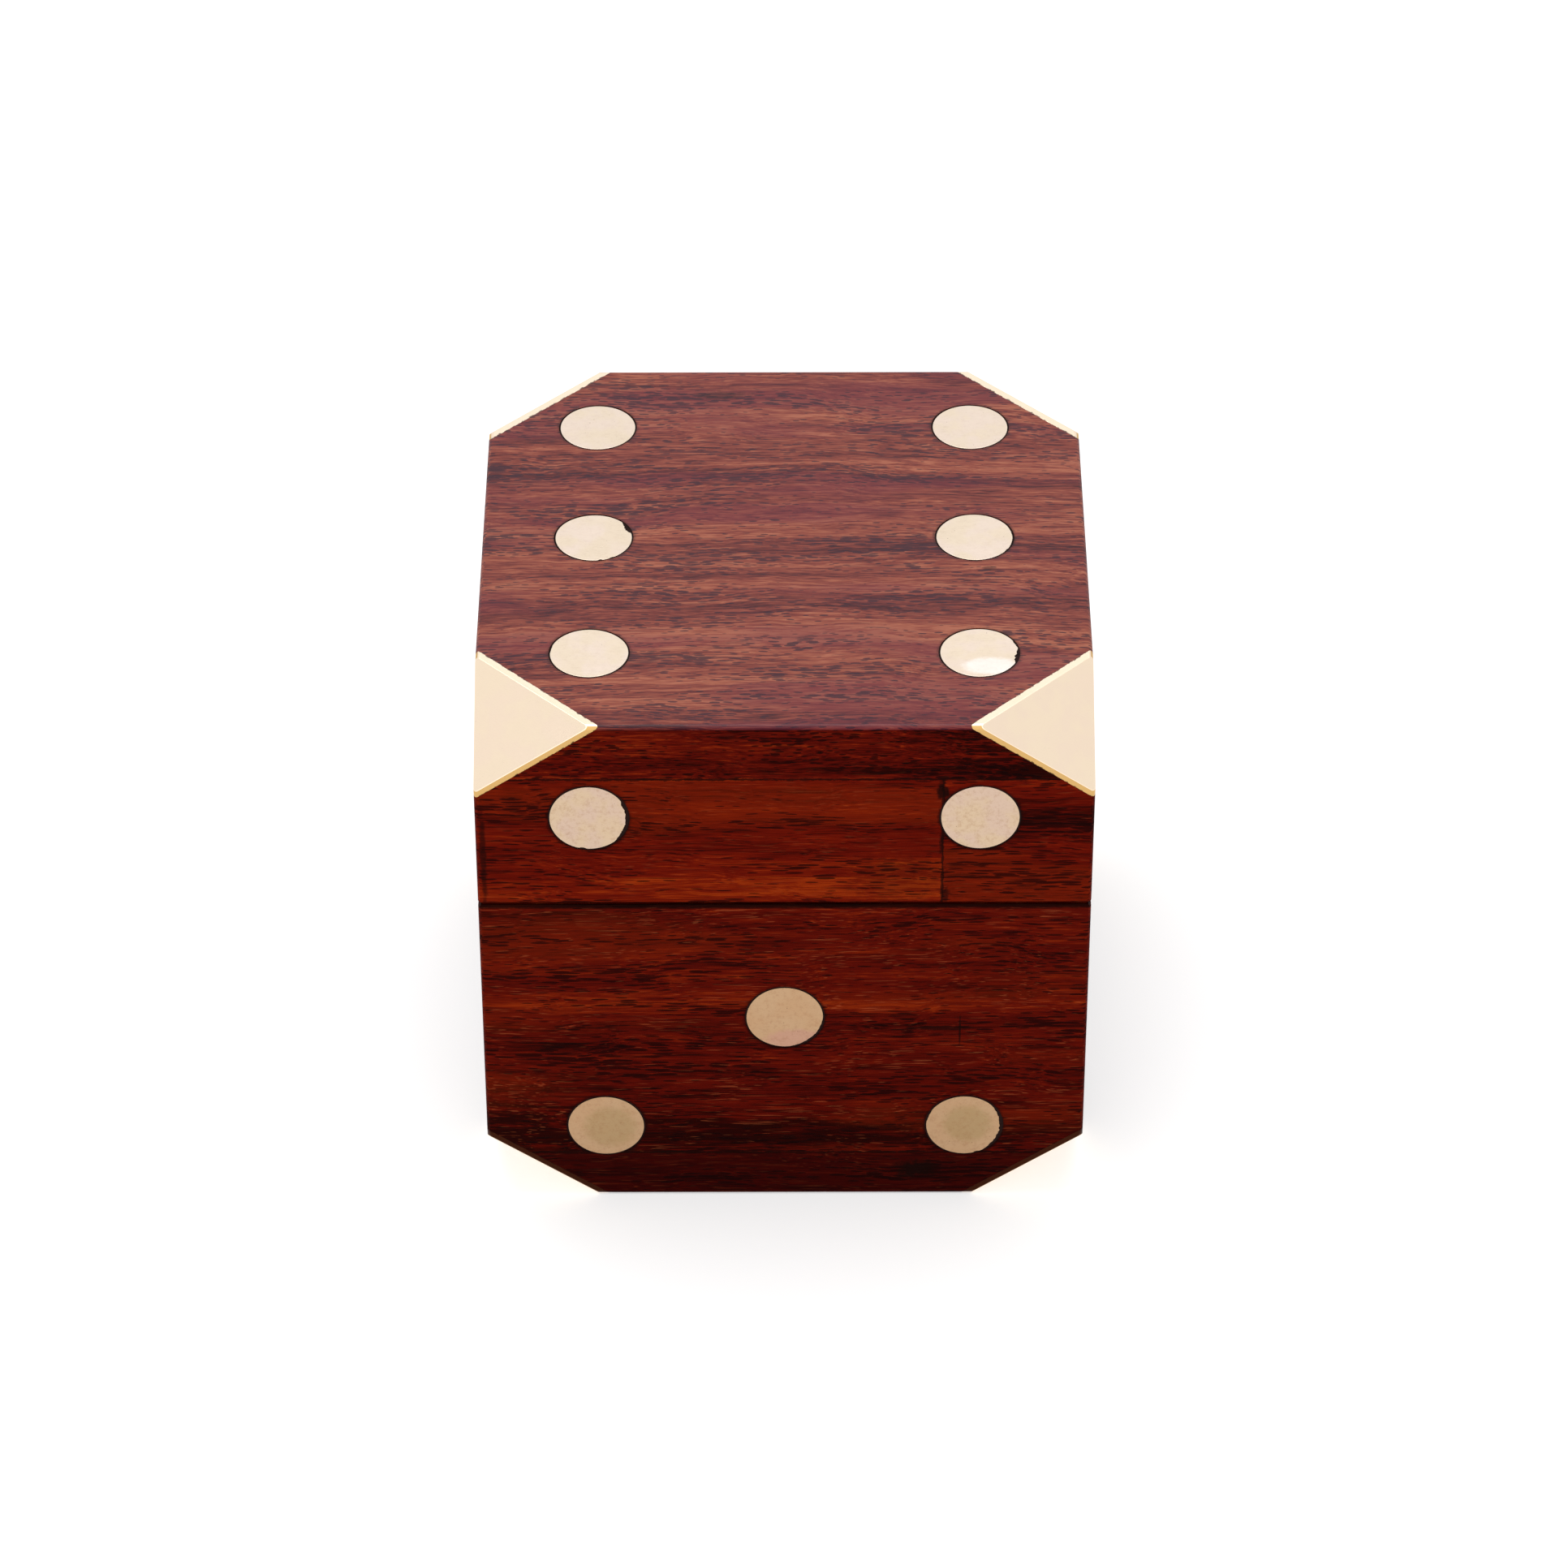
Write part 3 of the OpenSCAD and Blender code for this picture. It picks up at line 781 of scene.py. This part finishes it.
# %% Eased brass parts
ON_HINGE = dict(slot="hinge_brass", smooth=30)
EASED = {  # word in the name: bevel in mm, the edges that are sharper than this, and the look
    "plate": (0.04, 30, PLATE_BRASS, dict(slot="plate_brass", smooth=25)),
    "leaf": (0.06, 40, dict.fromkeys(bodies, HINGE_BRASS), ON_HINGE),
    "pin": (0.06, 40, dict.fromkeys(bodies, HINGE_BRASS), ON_HINGE),
    "nails": (0.12, 60, dict.fromkeys(bodies, NAIL_BRASS), ON_HINGE),
}
for node in sorted(nodes):
    body = node_body[node]
    for bevel, sharp, metals, look in [EASED[w] for w in node.split("_") if w in EASED]:
        bm = merged_copy(node)
        ease(bm, bevel, sharp)
        finished(bm, node + "_eased", metals[body], body, look["slot"], node,
                 smooth=look["smooth"])

# %% [markdown]
# ## Velvet lining
#
# The inside is lined with a dark red velvet, glued to the boards. A glued cloth is not flat
# like a painted wall: it crowns a little, waves where the glue is uneven, and rounds the inner
# corners. The floor and ceiling are grids that are pushed down at their edges, and the walls
# are one band, made from a block without its ends, that runs round the inside. Velvet has a
# pile that stands up, so it is dark where it is seen straight on and paler at a slant: the
# shader's sheen does that, and noise gives the marks where it was brushed the other way.

# %% Velvet finish
PILE_DARK, PILE_PALE, PILE_BRUSHED = rgb(70, 6, 12), rgb(128, 16, 26), rgb(150, 30, 40)


def velvet(name):
    cloth = Finish(name)
    flat = cloth.millimetres()
    nap = cloth.noise(flat, scale=9.0, detail=3.0, roughness=0.7)
    brushed = cloth.noise(flat, scale=0.12, detail=2.0)
    colour = cloth.mix(nap.step(0.35, 0.7), PILE_DARK, PILE_PALE)
    colour = cloth.mix((brushed - 0.5).size() * 1.6, colour, PILE_BRUSHED)
    cloth.set(
        Base_Color=colour,
        Roughness=0.95 - nap * 0.1,
        Specular_IOR_Level=0.1,
        Sheen_Weight=0.6,
        Sheen_Roughness=0.35,
        Sheen_Tint=rgb(255, 150, 150),
    )
    cloth.bump(nap, 0.25 * MM, 0.8)
    return cloth.material


VELVET = velvet("velvet")
print("velvet nodes:", len(VELVET.node_tree.nodes))

# %% Velvet sheets
CLOTH = 0.5 * MM
CLOTH_GAP = 0.1 * MM
CROWN, CROWN_REACH = 0.28 * MM, 2.5 * MM  # height of the crown, and how far in it rises
WALL_LIFT, WALL_REACH = 0.13 * MM, 1.2 * MM
CORNER = 1.4 * MM
WAVE_HEIGHT, WAVE_LENGTH = 0.11 * MM, 6 * MM


def wave(point):
    """The height of the uneven glue under the cloth at a point."""
    return WAVE_HEIGHT * noise.noise(point / WAVE_LENGTH)


def velvet_piece(bm, node, flip, offset):
    """Finishes a sheet; offset is the side of it on which the cloth's thickness lies."""
    name = node + "_velvet"
    piece = finished(bm, name, VELVET, node_body[node], "velvet", node, smooth=60)
    if flip:
        piece.data.flip_normals()
    cloth = piece.modifiers.new("cloth", "SOLIDIFY")
    cloth.thickness, cloth.offset = CLOTH, offset


def velvet_panel(node, up):
    """A floor or ceiling panel; up is 1 where the pile faces up and -1 where it faces down."""
    low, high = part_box(node)
    half = (high.x - low.x) / 2 - CLOTH_GAP
    board = low.z if up > 0 else high.z
    bm = bmesh.new()
    bmesh.ops.create_grid(bm, x_segments=64, y_segments=64, size=half)
    for vertex in bm.verts:
        x, y, _ = vertex.co
        from_edge = max(0, half - max(abs(x), abs(y))) / CROWN_REACH
        crown = min(1, from_edge) ** 0.5 * CROWN
        vertex.co.z = board + up * (CLOTH_GAP + CLOTH + crown + wave(vertex.co))
    velvet_piece(bm, node, up < 0, -1)


def velvet_band(node):
    """One strip of cloth round the four inner walls."""
    low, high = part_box(node)
    half, height = high.x - CLOTH_GAP, high.z - low.z - 2 * CLOTH_GAP
    bm = bmesh.new()
    bmesh.ops.create_cube(bm, size=1)
    bmesh.ops.scale(bm, verts=bm.verts, vec=(2 * half, 2 * half, height))
    bmesh.ops.translate(bm, verts=bm.verts, vec=(0, 0, (low.z + high.z) / 2))
    ends = [f for f in bm.faces if abs(f.normal.z) > 0.5]
    bmesh.ops.delete(bm, geom=ends, context="FACES_ONLY")
    upright = [e for e in bm.edges if abs(e.verts[0].co.z - e.verts[1].co.z) > height / 2]
    bmesh.ops.bevel(bm, geom=upright, offset=CORNER, offset_type="OFFSET", affect="EDGES",
                    segments=5, profile=0.5, material=-1)
    long = [e for e in bm.edges if e.calc_length() > 20 * MM and
            abs(e.verts[0].co.z - e.verts[1].co.z) < 1e-6]
    bmesh.ops.subdivide_edges(bm, edges=long, cuts=40, use_grid_fill=True)
    upright = [e for e in bm.edges if abs(e.verts[0].co.z - e.verts[1].co.z) > height / 2]
    bmesh.ops.subdivide_edges(bm, edges=upright, cuts=max(8, int(height / MM)),
                              use_grid_fill=True)
    for vertex in bm.verts:
        inward = Vector((vertex.co.x, vertex.co.y, 0)).normalized()
        edge = min(vertex.co.z - low.z, high.z - vertex.co.z) / WALL_REACH
        vertex.co -= inward * (WALL_LIFT + wave(vertex.co)) * min(1, edge)
    velvet_piece(bm, node, True, 1)


velvet_panel("base_lining_floor", 1)
velvet_panel("lid_lining_top", -1)
velvet_band("base_lining_walls")
velvet_band("lid_lining_walls")

# %% [markdown]
# ## Studio
#
# The background of the photograph is plain white. The floor is white card that also glows a
# little for the camera, so it reaches white without more light on the box, and it keeps the
# soft shadow that shows where the box stands.

# %% Floor and world
FLOOR_HALF = 6.0
FLOOR_DROP = 0.02 * MM  # just under the box, so that the two don't flicker
CARD = rgb(236, 236, 236)
CARD_GLOW, WHITE_LEVEL, AMBIENT = 0.42, 0.95, 0.55


def studio_floor():
    bm = bmesh.new()
    bmesh.ops.create_grid(bm, x_segments=1, y_segments=1, size=FLOOR_HALF)
    bmesh.ops.translate(bm, verts=bm.verts, vec=(0, 0, -FLOOR_DROP))
    mesh = bpy.data.meshes.new("floor")
    bm.to_mesh(mesh)
    bm.free()
    floor = bpy.data.objects.new("floor", mesh)
    scene.collection.objects.link(floor)
    card = Finish("floor_card")
    path = card.node("LightPath", output="Is Camera Ray")
    rays = path.socket.node
    shown = path.larger(Value(card, rays.outputs["Is Glossy Ray"]))
    shown = shown.larger(Value(card, rays.outputs["Is Transmission Ray"]))
    card.set(Base_Color=CARD, Roughness=0.9, Specular_IOR_Level=0.0)
    glow = card.node("Emission", inputs={"Color": (1, 1, 1, 1), "Strength": shown * CARD_GLOW})
    both = card.node("AddShader", inputs={0: glow, 1: Value(card, card.shader.outputs[0])})
    card.tree.links.new(both.socket, card.tree.nodes["Material Output"].inputs["Surface"])
    mesh.materials.append(card.material)


def studio_world():
    """White for the camera and for mirrors, and a dimmer light on everything else."""
    world = bpy.data.worlds.new("studio")
    world.use_nodes = True
    scene.world = world
    tree = world.node_tree
    background = tree.nodes["Background"]
    rays = tree.nodes.new("ShaderNodeLightPath")
    seen = tree.nodes.new("ShaderNodeMath")
    seen.operation = "MAXIMUM"
    tree.links.new(rays.outputs["Is Camera Ray"], seen.inputs[0])
    tree.links.new(rays.outputs["Is Glossy Ray"], seen.inputs[1])
    level = tree.nodes.new("ShaderNodeMapRange")
    level.inputs["To Min"].default_value = AMBIENT
    level.inputs["To Max"].default_value = WHITE_LEVEL
    tree.links.new(seen.outputs[0], level.inputs["Value"])
    background.inputs["Color"].default_value = (1, 1, 1, 1)
    tree.links.new(level.outputs[0], background.inputs["Strength"])


studio_floor()
studio_world()
print("surroundings: white", WHITE_LEVEL, "and light", AMBIENT)

# %% [markdown]
# Two soft lamps: one above and a little behind the box, which gives the top its sheen, and a
# larger and weaker one in front on the left, which keeps the front readable. It is large so
# that brass that mirrors it keeps its colour, seen from behind.

# %% Lamps
LAMP_AIM = (0, 0, 30 * MM)


def lamp(name, place, size, power):
    data = bpy.data.lights.new(name, "AREA")
    data.shape = "SQUARE"
    data.size = size
    data.energy = power
    made = bpy.data.objects.new(name, data)
    made.location = place
    aim = Vector(LAMP_AIM) - Vector(place)
    made.rotation_euler = aim.to_track_quat("-Z", "Y").to_euler()
    scene.collection.objects.link(made)
    print(f"{name} lamp: {size} m wide, {power} W")


lamp("key", (-0.05, 0.20, 1.0), 0.9, 4.4)
lamp("fill", (-0.15, -0.85, 0.55), 1.5, 3.9)

# %% View transform
scene.view_settings.view_transform = "Standard"
